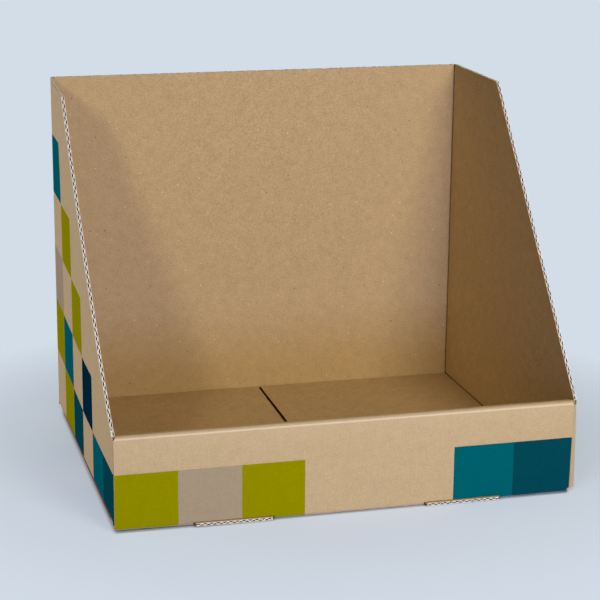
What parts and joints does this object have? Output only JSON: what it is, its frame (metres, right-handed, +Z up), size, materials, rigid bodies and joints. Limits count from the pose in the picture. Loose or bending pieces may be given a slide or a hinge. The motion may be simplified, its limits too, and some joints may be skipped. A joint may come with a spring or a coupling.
{
  "type": "cardboard display stand",
  "caption": "Open-front counter display tray folded from one corrugated board blank, with a tall back, sloping sides and a low roll-over front wall.",
  "frame": {"origin": "middle of the footprint, on the table", "axes": "+X to the stand's right as seen from the front, +Y to the back wall, +Z up"},
  "size_m": [0.24, 0.2006, 0.1945],
  "materials": {
    "kraft_board": "matte, uncoated brown kraft liner"
  },
  "bodies": {
    "root": {"folded_board": "kraft_board"}
  },
  "joints": []
}
